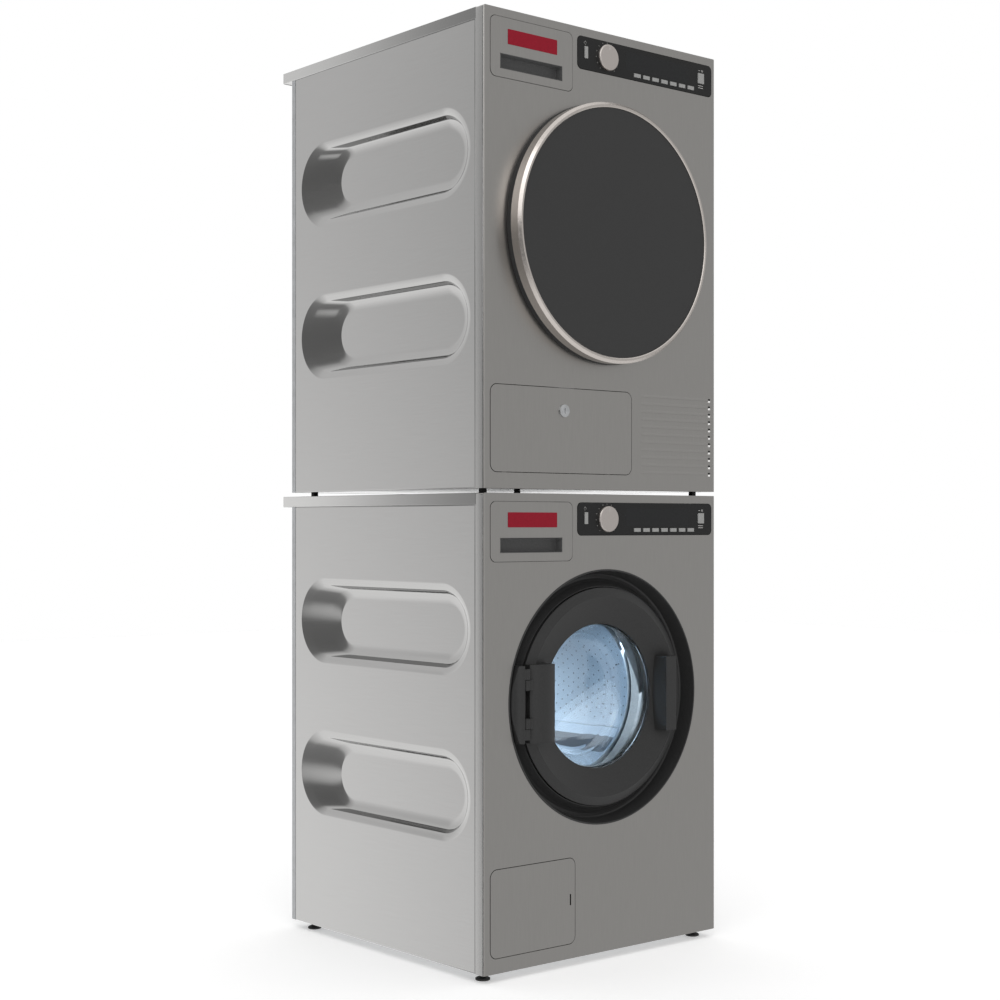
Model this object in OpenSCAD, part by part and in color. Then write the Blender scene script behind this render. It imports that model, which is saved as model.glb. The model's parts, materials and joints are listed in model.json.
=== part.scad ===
// Washing machine with a tumble dryer standing on it.
// Millimetres. X is right, Y is back, Z is up. The origin is on the floor under the middle of the stack.
// Most pieces are drawn by their depth behind the plane of the front panels, and by their height above
// the plane that their own machine's feet would stand on if both machines had the same low feet. The
// whole stack is then raised by the extra height of the washer's screw feet.

/* [Cabinet] */
// Width of both machines
body_w = 590; // [585:1:600]
// Height of each machine's cabinet, without its feet
body_h = 852; // [848:1:856]
// Height of the feet between the two cabinets
foot_h = 8; // [6:0.5:10]
// How much taller the washer's screw feet are than the feet between the cabinets
lift = 8; // [0:0.5:12]
// Depth from the front panel to the back panel
body_d = 608; // [604:1:640]
// How far the worktop reaches behind the back panel
worktop_overhang = 33; // [32:1:50]
// Height of the worktop
worktop_h = 21; // [20:1:22]
// Thickness of the sheet metal
sheet = 1.5; // [1.2:0.1:1.8]

/* [Side panels] */
// Length of a pressed recess in a side panel
recess_l = 536; // [500:1:538]
// Height of a pressed recess
recess_h = 166; // [150:1:170]
// Depth of a pressed recess
recess_depth = 20; // [10:1:22]
// Width of the sloping wall round a recess
recess_slope = 32; // [12:1:40]

/* [Front] */
// Height of both door centres above the floor of their machine
door_z = 483; // [480:1:486]
// Bottom of the drawer front above the floor of its machine
drawer_z = 737.5; // [737:0.5:740]
// Height of the drawer front
drawer_h = 107; // [104:0.5:107]
// Pull of the detergent drawer and the tank drawer
drawer_travel = 190; // [120:5:200]
// Gap round the fixed and sliding front pieces
front_gap = 0.8; // [0.6:0.1:1]

/* [Controls] */
// Radius of the programme knob
knob_r = 24.3; // [20:0.1:25]
// Spacing of the option keys
key_pitch = 24.15; // [22:0.05:25]
// Width of an option key
key_w = 17; // [14:0.5:18]
// Height of an option key
key_h = 7; // [5:0.5:8]

/* [Washer door] */
// Outer radius of the fixed black bezel
bezel_r = 237.6; // [237:0.1:240]
// Radius of the visible glass
glass_r = 135; // [130:1:137]
// How far the handle block and the hinge block stand in front of the panel
block_proud = 20; // [18:1:22]

/* [Dryer door] */
// Outer radius of the metal ring
ring_r = 241; // [238:1:242]
// Radius of the dark disc in the ring
disc_r = 231; // [228:1:231]
// How far the ring stands in front of the panel
ring_proud = 34; // [32:1:36]

/* [Drums] */
// Outer radius of the washer's drum
washer_drum_r = 240; // [230:1:241]
// Outer radius of the dryer's drum
dryer_drum_r = 255; // [245:1:256]
// Number of lifters in each drum
lifters = 3; // [2:1:4]
// Height of a lifter
lifter_h = 50; // [30:1:60]

/* [Hidden] */
KEYS = [1, 2, 3, 4, 5, 6, 7];
MACHINES = ["washer", "dryer"];
$fn = 96;

// Heights and depths
pitch = foot_h + body_h;
half_w = body_w / 2;
inner_w = half_w - sheet;
total_d = body_d + worktop_overhang + ring_proud;
front_y = -total_d / 2 + ring_proud;
front_panel_d = 23;
worktop_d0 = 21.5;
back_panel_d = 12;
back_d0 = body_d - back_panel_d;
base_z = foot_h + sheet;
tray_top = base_z + 2;
top_corner_r = 4;
small = 0.05;

// Cabinet frame
post_w = 6.5;
post_x = inner_w - 0.5 - post_w;
post_d0 = 3;
post_d1 = 28;
rear_post_w = 12;
rear_post_d0 = 584;
rear_post_d1 = 595;

// Front openings and controls, from the left edge to the right edge and from low to high
drawer_x = [-279.5, -84];
slot_x = [-257, -109];
slot_z = [753, 780];
fascia_x = [-71.3, 285];
fascia_z = [784, 844];
fascia_d0 = -0.8;
fascia_d1 = 2.6;
knob_x = 3;
knob_z = 814;
first_key_x = 81;
option_key_z = 793.4;
power_key_x = -50.5;
power_key_z = 815.6;
start_key_x = 254.3;
start_key_z = 816;
power_key_size = [8, 22];
start_key_size = [16.5, 20];
key_gap = 0.3;
hatch_gap = 1.2;
washer_hatch_x = [-279.3, -77.7];
washer_hatch_z = [35.6, 192];
dryer_hatch_x = [-279.3, 66.5];
dryer_hatch_z = [37.7, 192.5];
hatch_r = 14;
hatch_sheet = [-0.3, 1.2];
hatch_pin_out = 5.2;
hatch_pin_d = 3.6;
hatch_pin_r = 1.5;
arm_w = 12;
lug_w = 5;
washer_arm_z = [70, 145];
dryer_arm_x = [-240, 15];
lock_x = -104.6;
lock_z = 151.4;
vent_x = [91.6, 283.7];
vent_z0 = 42;
vent_pitch = 14.5;
vents = 11;
vent_slit = 2;

// Washer door
hinge_x = -202;
hinge_d = -8;
hinge_r = 7;
hinge_pin_r = 3;
block_z = [411, 552];
tub_r = 255;
pulley_r = 140;
motor_pulley_r = 20;
motor_x = 60;
motor_z = 135;

// Dryer door and drive
dryer_hinge_x = 245;
dryer_hinge_d = -6;
dryer_hinge_r = 4.5;
dryer_pin_r = 2;
dryer_motor_x = 170;
dryer_motor_z = 110;
dryer_pulley_r = 12;

// ---------- shapes used by several pieces ----------

// Everything in here belongs to the dryer, one machine higher than the washer.
module upstairs() {
    translate([0, 0, pitch]) children();
}

// A box given by its left and right, front and back, and low and high limits. Depths are behind the front.
module block(x, d, z) {
    translate([x[0], front_y + d[0], z[0]]) cube([x[1] - x[0], d[1] - d[0], z[1] - z[0]]);
}

module rounded_outline(x, z, r) {
    translate([x[0] + r, z[0]]) square([x[1] - x[0] - 2 * r, z[1] - z[0]]);
    translate([x[0], z[0] + r]) square([x[1] - x[0], z[1] - z[0] - 2 * r]);
    for (cx = [x[0] + r, x[1] - r], cz = [z[0] + r, z[1] - r])
        translate([cx, cz]) circle(r);
}

// A plate parallel to the front, with rounded corners.
module plate(x, d, z, r) {
    translate([0, front_y + d[1], 0]) rotate([90, 0, 0])
        linear_extrude(d[1] - d[0]) rounded_outline(x, z, r);
}

// A turned piece about a front-to-back axis: the profile's points are [radius, depth].
module turned(profile, x = 0, z = door_z) {
    translate([x, front_y, z]) rotate([-90, 0, 0]) rotate_extrude() polygon(profile);
}

// A rod along the front-to-back axis.
module rod(x, z, r, d) {
    translate([x, front_y + d[0], z]) rotate([-90, 0, 0]) cylinder(h = d[1] - d[0], r = r);
}

// An upright rod.
module post(x, d, r, z) {
    translate([x, front_y + d, z[0]]) cylinder(h = z[1] - z[0], r = r);
}

function grown(range, by) = [range[0] - by, range[1] + by];

// ---------- cabinet ----------

// A stadium with sloping walls, as deep as the recess. Its open side is at height zero.
module recess_form(grow) {
    r0 = recess_h / 2 + grow;
    r1 = recess_h / 2 - recess_slope + grow;
    straight = recess_l - recess_h;
    depth = recess_depth + grow;
    for (end = [0, straight])
        translate([end, 0, 0]) cylinder(h = depth, r1 = r0, r2 = r1);
    rotate([90, 0, 90]) linear_extrude(straight) polygon([[-r0, 0], [r0, 0], [r1, depth], [-r1, depth]]);
}

// The left side panel of one machine.
module left_side() {
    recess_d = 37.4 + recess_h / 2;
    low = 314.5;
    high = 614.5;
    difference() {
        union() {
            block([-half_w, -inner_w], [front_panel_d, back_d0], [foot_h, pitch - worktop_h]);
            for (z = [low, high])
                translate([-half_w, front_y + recess_d, z])
                    rotate([0, 90, 0]) rotate([0, 0, 90]) recess_form(sheet);
        }
        for (z = [low, high])
            translate([-half_w - small, front_y + recess_d, z])
                rotate([0, 90, 0]) rotate([0, 0, 90]) recess_form(0);
    }
}

module side_panels() {
    color("silver") for (z = [0, pitch]) translate([0, 0, z]) {
        left_side();
        mirror([1, 0, 0]) left_side();
    }
}

module worktops() {
    rear = body_d + worktop_overhang;
    rim = 1.5;
    color("silver") for (z = [pitch, 2 * pitch]) translate([0, 0, z]) difference() {
        block([-half_w, half_w], [worktop_d0, rear], [-worktop_h, 0]);
        block([rim - half_w, half_w - rim], [worktop_d0 + rim, rear - rim], [-worktop_h - 1, -rim]);
    }
}

module feet() {
    x = half_w - 27;
    pad_r = 13.5;
    pad_h = 5;
    nut_r = 7;
    nut_h = 4;
    stem_r = 5;
    dryer_foot = 10;
    color("dimgray") for (side = [-x, x], d = [35, 567]) {
        post(side, d, pad_r, [-lift, pad_h - lift]);
        post(side, d, nut_r, [pad_h - lift, pad_h + nut_h - lift]);
        post(side, d, stem_r, [pad_h + nut_h - lift, base_z]);
        upstairs() block(grown([side, side], dryer_foot), grown([d, d], dryer_foot), [0, base_z]);
    }
}

module cabinet_frame() {
    rim = 14;
    w = inner_w - 0.5;
    rail_top = pitch - worktop_h - 0.5;
    rail_x = w - rear_post_w;
    top_rail_d = 20;
    difference() {
        block([-w, w], [post_d0, rear_post_d1], [base_z, tray_top + rim]);
        block([2 - w, w - 2], [post_d0 + 2, rear_post_d1 - 2], [tray_top, tray_top + rim + 1]);
    }
    for (side = [0, 1]) mirror([side, 0, 0]) {
        block([post_x, w], [post_d0, top_rail_d], [base_z, pitch - 2]);
        block([post_x, w], [top_rail_d - 1, post_d1], [base_z, rail_top]);
        block([rail_x, w], [rear_post_d0, rear_post_d1], [base_z, rail_top]);
        block([rail_x, w], [post_d1 - 5, rear_post_d1], [rail_top - 9, rail_top]);
    }
    block([-w, w], [post_d0, top_rail_d], [pitch - 13, pitch - 2]);
    block([-w, w], [rear_post_d0, rear_post_d1], [rail_top - 20, rail_top]);
}

module washer_frame() {
    color("gray") cabinet_frame();
}

module dryer_frame() {
    mouth_r = 172;
    collar_r = 175;
    shaft_r = 10;
    color("gray") upstairs() difference() {
        union() {
            cabinet_frame();
            block([-post_x - 1, post_x + 1], [24, post_d1], [240, 726]);
            rod(0, door_z, collar_r, [2, 50]);
            block([1 - inner_w, inner_w - 1], [rear_post_d0, rear_post_d1], [door_z - 20, door_z + 20]);
        }
        rod(0, door_z, mouth_r, [0, 60]);
        rod(0, door_z, shaft_r + small, [rear_post_d0 - 1, rear_post_d1 + 1]);
    }
}

// The front sheet, folded back at its sides, top and bottom. Its cut-outs are the children.
module front_sheet() {
    edge_r = 3.3;
    difference() {
        intersection() {
            translate([0, 0, foot_h]) linear_extrude(body_h) front_section(0, edge_r);
            plate([-half_w, half_w], [-1, front_panel_d + 1], [0, pitch], top_corner_r);
        }
        translate([0, 0, foot_h + sheet]) linear_extrude(body_h - 2 * sheet)
            front_section(sheet, edge_r - sheet);
        block([-half_w, half_w], [worktop_d0, front_panel_d + 2], [pitch - worktop_h, pitch + 1]);
        children();
    }
}

module front_section(inset, r) {
    x = half_w - inset;
    back = front_panel_d + inset;
    translate([r - x, front_y + inset]) square([2 * (x - r), back - inset]);
    translate([-x, front_y + inset + r]) square([2 * x, back - inset - r]);
    for (cx = [r - x, x - r]) translate([cx, front_y + inset + r]) circle(r);
}

module control_cutouts() {
    depth = [-1, 10];
    plate(grown(drawer_x, front_gap), depth, grown([drawer_z, drawer_z + drawer_h], front_gap), 12);
    plate(grown(fascia_x, front_gap), depth, grown(fascia_z, front_gap), 10);
}

// Turns a hinge piece that is drawn along the washer hatch's left edge, so that it lies along the bottom
// edge of the dryer hatch: what was right of that edge is then above it.
module along_dryer_edge() {
    translate([0, 0, dryer_hatch_z[0]]) rotate([0, -90, 0]) mirror([0, 0, 1]) children();
}

// The profile's points are [distance inside the hatch's edge, depth]. It is drawn from low to high.
module hinge_profile(profile, z) {
    translate([0, front_y, z[0]]) linear_extrude(z[1] - z[0]) polygon(profile);
}

// Two ears behind the panel for one arm of a hatch. Its place is the arm's middle.
module hatch_ears(place) {
    gap = 0.5;
    y = [sheet - small, hatch_pin_d + 2.5];
    x = [-hatch_pin_out - 1.9, -hatch_gap - 0.3];
    difference() {
        for (up = [0, 1]) translate([0, 0, place]) mirror([0, 0, up])
            hinge_profile([[x[0], y[0]], [x[1], y[0]], [x[1], y[1]], [x[0], y[1]]],
                [arm_w / 2 + gap, arm_w / 2 + gap + lug_w]);
        post(-hatch_pin_out, hatch_pin_d, hatch_pin_r + small, grown([place, place], arm_w));
    }
}

// A bent arm that reaches round the edge of the opening, with its pin.
module hatch_arm(place) {
    x = -hatch_pin_out;
    d = hatch_pin_d;
    back = hatch_sheet[1] - small;
    hinge_profile([
        [x - 1.5, d], [x + 0.9, d], [x + 0.9, d + 5.9], [x + 5.9, d + 5.9], [x + 5.9, back],
        [x + 8.4, back], [x + 8.4, d + 7.7], [x - 1.5, d + 7.7]
    ], grown([place, place], arm_w / 2));
    post(x, d, hatch_pin_r, grown([place, place], arm_w / 2 + lug_w));
}

module washer_front_panel() {
    color("lightgray") {
        front_sheet() {
            control_cutouts();
            rod(0, door_z, 235, [-1, 10]);
            plate(grown(washer_hatch_x, hatch_gap), [-1, 10],
                grown(washer_hatch_z, hatch_gap), hatch_r + hatch_gap);
        }
        for (z = washer_arm_z)
            translate([washer_hatch_x[0], 0, 0]) hatch_ears(z);
    }
}

module dryer_front_panel() {
    mouth_r = 176;
    color("lightgray") upstairs() {
        front_sheet() {
            control_cutouts();
            rod(0, door_z, mouth_r, [-1, 10]);
            plate(grown(dryer_hatch_x, hatch_gap), [-1, 10],
                grown(dryer_hatch_z, hatch_gap), hatch_r + hatch_gap);
            for (i = [0 : vents - 1]) {
                z = vent_z0 + i * vent_pitch;
                block(grown(vent_x, -4), [-1, 10], grown([z, z], vent_slit / 2));
            }
        }
        for (x = dryer_arm_x) along_dryer_edge() hatch_ears(x);
    }
}

// A pan that closes the back. Its holes are the children.
module back_pan() {
    top = pitch - worktop_h;
    difference() {
        block([-half_w, half_w], [back_d0, body_d], [foot_h, top]);
        block([sheet - half_w, half_w - sheet], [back_d0 - 1, body_d - sheet], [foot_h + sheet, top - sheet]);
        children();
    }
}

inlet = [-200, 780];
drain = [-160, 90];
inlet_r = 13.2;
drain_r = 11;
gland = [205, 780];

// The collar in the back panel that the mains cable enters by.
module cable_gland() {
    difference() {
        union() {
            rod(gland[0], gland[1], 11, [body_d - sheet, body_d + 3]);
            rod(gland[0], gland[1], 8, [body_d, body_d + 12]);
        }
        rod(gland[0], gland[1], 4, [back_d0, body_d + 13]);
    }
}

module washer_back_panel() {
    hole_gap = 1;
    color("silver") {
        back_pan() {
            rod(inlet[0], inlet[1], inlet_r + hole_gap, [back_d0, body_d + 1]);
            rod(drain[0], drain[1], drain_r + hole_gap, [back_d0, body_d + 1]);
            rod(gland[0], gland[1], 5, [back_d0, body_d + 1]);
        }
        cable_gland();
    }
}

module dryer_back_panel() {
    slot_w = 160;
    slot_h = 4;
    color("silver") upstairs() {
        back_pan() {
            for (i = [0 : 7]) {
                z = 60 + i * 14;
                block(grown([dryer_motor_x, dryer_motor_x], slot_w / 2), [back_d0, body_d + 1],
                    [z, z + slot_h]);
            }
            rod(gland[0], gland[1], 5, [back_d0, body_d + 1]);
        }
        cable_gland();
    }
}

// ---------- controls ----------

module fascia() {
    hole_d = [-5, 10];
    difference() {
        plate(fascia_x, [fascia_d0, fascia_d1], fascia_z, 10);
        rod(knob_x, knob_z, 4 + small, hole_d);
        for (i = KEYS)
            key_block(first_key_x + (i - 1) * key_pitch, option_key_z, key_w, key_h, hole_d, key_gap);
        key_block(power_key_x, power_key_z, power_key_size[0], power_key_size[1], hole_d, key_gap);
        key_block(start_key_x, start_key_z, start_key_size[0], start_key_size[1], hole_d, key_gap);
    }
}

module key_block(x, z, w, h, d, grow = 0) {
    block(grown([x - w / 2, x + w / 2], grow), d, grown([z - h / 2, z + h / 2], grow));
}

// A key with a flange behind the fascia that keeps it from falling out.
module key(x, z, w, h) {
    key_block(x, z, w, h, [-2.4, 4]);
    key_block(x, z, w, h, [fascia_d1 + 0.3, 4.2], 1);
}

module knob() {
    turned([[0, -8.3], [knob_r - 1.5, -8.3], [knob_r, -6.8], [knob_r, -1.2], [4, -1.2], [4, 9], [0, 9]],
        knob_x, knob_z);
}

module washer_fascia() {
    color("black") fascia();
}

module dryer_fascia() {
    color("black") upstairs() fascia();
}

module washer_knob() {
    color("tan") knob();
}

module dryer_knob() {
    color("tan") upstairs() knob();
}

module power_key() {
    color("gray") key(power_key_x, power_key_z, power_key_size[0], power_key_size[1]);
}

module start_key() {
    color("gray") key(start_key_x, start_key_z, start_key_size[0], start_key_size[1]);
}

module option_key(i) {
    color("silver") key(first_key_x + (i - 1) * key_pitch, option_key_z, key_w, key_h);
}

// ---------- drawers ----------

tray_x = [-270, -93];
tray_z = [742, 835];
tray_d1 = 240;
cup_d = 17;

// A drawer front with a finger slot, and an open tray behind it.
module drawer_body() {
    wall = 2;
    difference() {
        union() {
            plate(drawer_x, [-0.5, 4], [drawer_z, drawer_z + drawer_h], 12);
            difference() {
                block(tray_x, [4, tray_d1], tray_z);
                block(grown(tray_x, -wall), [6, tray_d1 - wall], [tray_z[0] + wall, tray_z[1] + 1]);
            }
            block(grown(slot_x, wall), [4, cup_d + wall], grown(slot_z, wall));
        }
        block(slot_x, [-1, cup_d], slot_z);
    }
}

module washer_drawer() {
    wall = 2;
    color("lightgray") {
        drawer_body();
        for (x = [-212, -152])
            block([x, x + wall], [cup_d + 1, tray_d1 - 1], [tray_z[0] + 1, tray_z[1] - 8]);
    }
}

module dryer_tank_drawer() {
    lid = [tray_z[1] - 2, tray_z[1]];
    filler_r = 18;
    color("lightgray") upstairs() difference() {
        union() {
            drawer_body();
            block(grown(tray_x, -1), [5, tray_d1 - 1], lid);
        }
        post((tray_x[0] + tray_x[1]) / 2, tray_d1 - 40, filler_r, grown(lid, 1));
    }
}

module washer_dispenser() {
    x = [-275, -88];
    z = [737, 838.5];
    wall = 2;
    rear = 252;
    hose_r = 8;
    valve = 15;
    color("white") {
        difference() {
            block(x, [5, rear], z);
            block(grown(x, -wall), [4, rear - wall], grown(z, -wall));
        }
        rod(inlet[0], inlet[1], hose_r, [rear - 1, 562]);
        block(grown([inlet[0], inlet[0]], valve), [560, 604], grown([inlet[1], inlet[1]], valve));
        rod(inlet[0], inlet[1], inlet_r, [603, body_d + 20]);
    }
}

// ---------- washer door ----------

// The valley's floor, from its inner ridge to its outer wall.
bezel_valley = [
    [206, 12], [210, 18.5], [215, 25], [220, 28.8], [225, 29.8], [228, 28], [230, 20], [232.5, 8]
];

module washer_door_bezel() {
    inner = [[172, 34], [172, 31], [204.5, 31], [204.5, 12]];
    lip = [[234.5, -0.6], [236, -1.2], [bezel_r, -0.4], [bezel_r, 0]];
    underside = [
        [234.6, 0], [234.6, 9], [232.6, 21], [230.6, 30], [226, 32.5], [219, 31.5], [212.5, 27.5],
        [208, 22], [206.8, 31], [206.8, 34]
    ];
    color("black") turned(concat(inner, bezel_valley, lip, underside));
}

// Hinge cover on the bezel, with two fixed knuckles and their pins.
module washer_door_hinge() {
    cover_x = [-231, -210];
    arch_r = 28;
    color("black") {
        difference() {
            intersection() {
                block(cover_x, [-13.3, 28], grown(block_z, -1));
                translate([-205, front_y + 14, 400]) cylinder(h = 200, r = arch_r);
                rod(0, door_z, 230.5, [-20, 30]);
            }
            rod(0, door_z, 205.5, [-21, 31]);
            turned(concat(bezel_valley, [[bezel_r, 8], [bezel_r, 40], [206, 40]]));
        }
        for (z = [[418, 437], [526, 545]]) {
            post(hinge_x, hinge_d, hinge_r, z);
            block([-213, hinge_x], [-13, -3], z);
        }
        post(hinge_x, hinge_d, hinge_pin_r, [420, 457]);
        post(hinge_x, hinge_d, hinge_pin_r, [506, 543]);
    }
}

// Profile of the moving ring: a dished face that rises from the glass to a rim, and a chamfer outside it.
module washer_door_frame() {
    arch_r = 48.7;
    color("black") difference() {
        union() {
            turned([[glass_r, 19], [186.6, 0], [203, 7.5], [203, 15], [196, 29], [151, 29], [151, 25.5],
                [glass_r, 25.5]]);
            block([140, 167], [-block_proud, 20], block_z);
            intersection() {
                union() {
                    block([-194, -165], [-block_proud, 5], block_z);
                    block([-166, -140], [-block_proud, 19], block_z);
                }
                translate([-162, front_y - block_proud + arch_r, 400]) cylinder(h = 200, r = arch_r);
            }
            for (z = [[438, 456], [507, 525]]) {
                post(hinge_x, hinge_d, hinge_r, z);
                block([hinge_x, -190], [-13, -3], z);
            }
        }
        block([152, 168], [-8, 6], [430, 533]);
        for (z = [[437, 457], [506, 526]]) post(hinge_x, hinge_d, hinge_pin_r + small, z);
    }
}

module washer_door_glass() {
    color("lightblue", 0.4) turned([
        [glass_r - 1, 25.5], [150, 25.5], [150, 28.8], [139, 28.8], [136, 36], [119, 84], [100, 95], [0, 98],
        [0, 93], [98, 90], [114, 81], [131, 33]
    ]);
}

module washer_gasket() {
    color("darkgray") turned([
        [138.5, 36], [180, 34], [180, 37], [173, 37.5], [173, 47], [186, 52], [186, 58], [175, 63],
        [175, 93], [172, 93], [172, 64], [182, 57.2], [182, 53], [170, 49], [170, 39.5], [138.5, 39]
    ]);
}

// ---------- washer works ----------

module washer_tub() {
    color("lightgray") turned([
        [165, 78], [172, 78], [172, 95], [tub_r, 95], [tub_r, 505], [30, 505], [30, 515], [12.5 + small, 515],
        [12.5 + small, 485], [30, 485], [30, 500], [tub_r - 5, 500], [tub_r - 5, 100], [165, 100]
    ]);
}

// Three-sided ribs along the inside of a drum.
module drum_lifters(r, d) {
    intersection() {
        rod(0, door_z, r, d);
        for (i = [0 : lifters - 1])
            translate([0, front_y + d[1], door_z]) rotate([90, 0, 0]) rotate(90 + i * 360 / lifters)
                linear_extrude(d[1] - d[0])
                    polygon([[r + 5, -34], [r + 5, 34], [r - lifter_h, 10], [r - lifter_h, -10]]);
    }
}

module washer_drum() {
    r = washer_drum_r;
    wall = 1.5;
    color("silver") {
        turned([
            [158, 104], [164, 104], [164, 108], [r, 108], [r, 472], [50, 472], [50, 480], [12.5, 480],
            [12.5, 560], [0, 560], [0, 470], [r - wall, 470], [r - wall, 109.5], [158, 109.5]
        ]);
        drum_lifters(r - wall / 2, [109, 471]);
    }
}

module washer_drum_pulley() {
    rim = 10;
    color("dimgray") turned([
        [12.5, 520], [30, 520], [30, 530], [pulley_r - rim, 530], [pulley_r - rim, 522], [pulley_r, 522],
        [pulley_r, 546], [pulley_r - rim, 546], [pulley_r - rim, 534], [30, 534], [30, 552], [12.5, 552]
    ]);
}

// The loop round a large and a small wheel, as points: an arc of each, and the two outer tangents between.
function arc(centre, r, from, to, step = 3) =
    [for (i = [0 : ceil((to - from) / step)])
        centre + r * [cos(min(to, from + i * step)), sin(min(to, from + i * step))]];

function belt_loop(r, small_r, wheel) =
    let (turn = atan2(wheel[1], wheel[0]), reach = acos((r - small_r) / norm(wheel)))
        concat(
            arc([0, 0], r, turn + reach, turn + 360 - reach),
            arc(wheel, small_r, turn - reach, turn + reach)
        );

module belt(r, small_r, x, z, thick, d) {
    clearance = 0.3;
    translate([0, front_y + d[1], door_z]) rotate([90, 0, 0]) linear_extrude(d[1] - d[0]) difference() {
        polygon(belt_loop(r + clearance + thick, small_r + clearance + thick, [x, z - door_z]));
        polygon(belt_loop(r + clearance, small_r + clearance, [x, z - door_z]));
    }
}

module washer_belt() {
    color("black") belt(pulley_r, motor_pulley_r, motor_x, motor_z, 4, [525, 543]);
}

module washer_motor() {
    body_r = 62;
    color("gray") difference() {
        union() {
            rod(motor_x, motor_z, body_r, [350, 500]);
            block(grown([motor_x, motor_x], 30), [380, 470], [180, 260]);
        }
        rod(0, door_z, tub_r, [300, 510]);
        rod(motor_x, motor_z, 8 + small, [460, 501]);
    }
}

module washer_motor_pulley() {
    color("dimgray") {
        rod(motor_x, motor_z, motor_pulley_r, [522, 546]);
        rod(motor_x, motor_z, 8, [462, 523]);
    }
}

// A leaning rod in an upright plane, from one point [x, z] to another.
module strut(a, b, d, r) {
    translate([a[0], front_y + d, a[1]]) rotate([0, atan2(b[0] - a[0], b[1] - a[1]), 0])
        cylinder(h = norm(b - a), r = r);
}

module washer_suspension() {
    color("dimgray") difference() {
        for (side = [0, 1]) mirror([side, 0, 0]) {
            strut([226, 5], [214, 150], 300, 16);
            strut([215, 140], [200, 320], 300, 7);
            strut([268, 829.5], [250, 760], 300, 3);
            strut([250, 762], [222, 655], 300, 11);
            strut([223, 660], [205, 600], 300, 3);
        }
        rod(0, door_z, tub_r + small, [200, 400]);
        block([-300, 300], [200, 400], [0, tray_top]);
        block([-300, 300], [200, 400], [pitch - worktop_h - 9.5, pitch]);
    }
}

module washer_counterweight() {
    color("lightslategray") difference() {
        block([-60, 170], [150, 430], [690, 805]);
        rod(0, door_z, tub_r, [100, 500]);
    }
}

module washer_pump() {
    filter_x = -178;
    filter_z = 108;
    color("white") difference() {
        union() {
            block([-222, -134], [70, 190], [62, 150]);
            rod(filter_x, filter_z, 35, [30, 72]);
            rod(filter_x, filter_z, 38, [26, 31]);
            block(grown([filter_x, filter_x], 5), [14, 27], grown([filter_z, filter_z], 30));
            rod(drain[0], drain[1], drain_r, [189, body_d + 22]);
            post(-160, 150, 16, [149, 330]);
            block([-210, -146], [90, 170], [tray_top, 63]);
        }
        rod(0, door_z, tub_r, [60, 400]);
    }
}

module washer_hatch() {
    catch_slot_x = -88.8;
    color("lightgray") {
        difference() {
            plate(washer_hatch_x, hatch_sheet, washer_hatch_z, hatch_r);
            block(grown([catch_slot_x, catch_slot_x], 1.5), [-1, 4], [106, 126.5]);
        }
        for (z = washer_arm_z) translate([washer_hatch_x[0], 0, 0]) hatch_arm(z);
    }
}

// ---------- dryer door ----------

module dryer_door_disc() {
    color("dimgray") upstairs() rod(0, door_z, disc_r - 0.2, [-31.7, -27.7]);
}

module dryer_door_ring() {
    p = -ring_proud;
    color("silver") upstairs() turned([
        [disc_r, p + 1.2], [disc_r + 1.5, p], [ring_r - 5, p], [ring_r, p + 5], [ring_r, -4.5],
        [ring_r - 1.5, -3.2], [disc_r - 6, -3.2], [disc_r - 6, -6], [disc_r + 4, -6], [disc_r + 4, -27.7],
        [disc_r, -27.7]
    ]);
}

module dryer_door_liner() {
    knuckles = [[door_z + 14, door_z + 34], [door_z - 34, door_z - 14]];
    color("black") upstairs() difference() {
        union() {
            turned([
                [0, 19], [158, 19], [163, 14], [163, -1], [238, -1], [241.5, -0.6], [241.5, -3.2],
                [disc_r - 6, -3.2], [disc_r - 6, -27.7], [disc_r - 9, -27.7], [disc_r - 9, -4], [160, -4], [158, 12],
                [155, 16], [0, 16]
            ]);
            for (z = knuckles) {
                post(dryer_hinge_x, dryer_hinge_d, dryer_hinge_r, z);
                block([232, dryer_hinge_x], [-3.1, -1.6], z);
            }
        }
        for (z = knuckles) post(dryer_hinge_x, dryer_hinge_d, dryer_pin_r + small, grown(z, 1));
    }
}

module dryer_door_hinge() {
    color("dimgray") upstairs() for (up = [-1, 1]) {
        z = up > 0 ? [door_z + 35, door_z + 52] : [door_z - 52, door_z - 35];
        pin = up > 0 ? [door_z + 15, door_z + 50] : [door_z - 50, door_z - 15];
        post(dryer_hinge_x, dryer_hinge_d, dryer_hinge_r, z);
        block([dryer_hinge_x, dryer_hinge_x + 4.5], [dryer_hinge_d, -0.5], z);
        block([dryer_hinge_x - 2, dryer_hinge_x + 16], [-1.6, 0], z);
        post(dryer_hinge_x, dryer_hinge_d, dryer_pin_r, pin);
    }
}

// ---------- dryer works ----------

module dryer_drum() {
    r = dryer_drum_r;
    wall = 1.5;
    color("silver") upstairs() {
        turned([
            [176, 42], [178, 42], [178, 60], [r, 60], [r, 500], [40, 500], [40, 508], [10, 508], [10, 592],
            [0, 592], [0, 498.5], [r - wall, 498.5], [r - wall, 61.5], [176, 61.5]
        ]);
        drum_lifters(r - wall / 2, [61, 499]);
    }
}

module dryer_belt() {
    color("black") upstairs()
        belt(dryer_drum_r, dryer_pulley_r, dryer_motor_x, dryer_motor_z, 2.5, [301, 313]);
}

module dryer_motor() {
    color("gray") upstairs() difference() {
        union() {
            rod(dryer_motor_x, dryer_motor_z, 55, [330, 470]);
            block(grown([dryer_motor_x, dryer_motor_x], 40), [350, 450], [tray_top, 70]);
        }
        rod(dryer_motor_x, dryer_motor_z, 6 + small, [329, 471]);
    }
}

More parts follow.
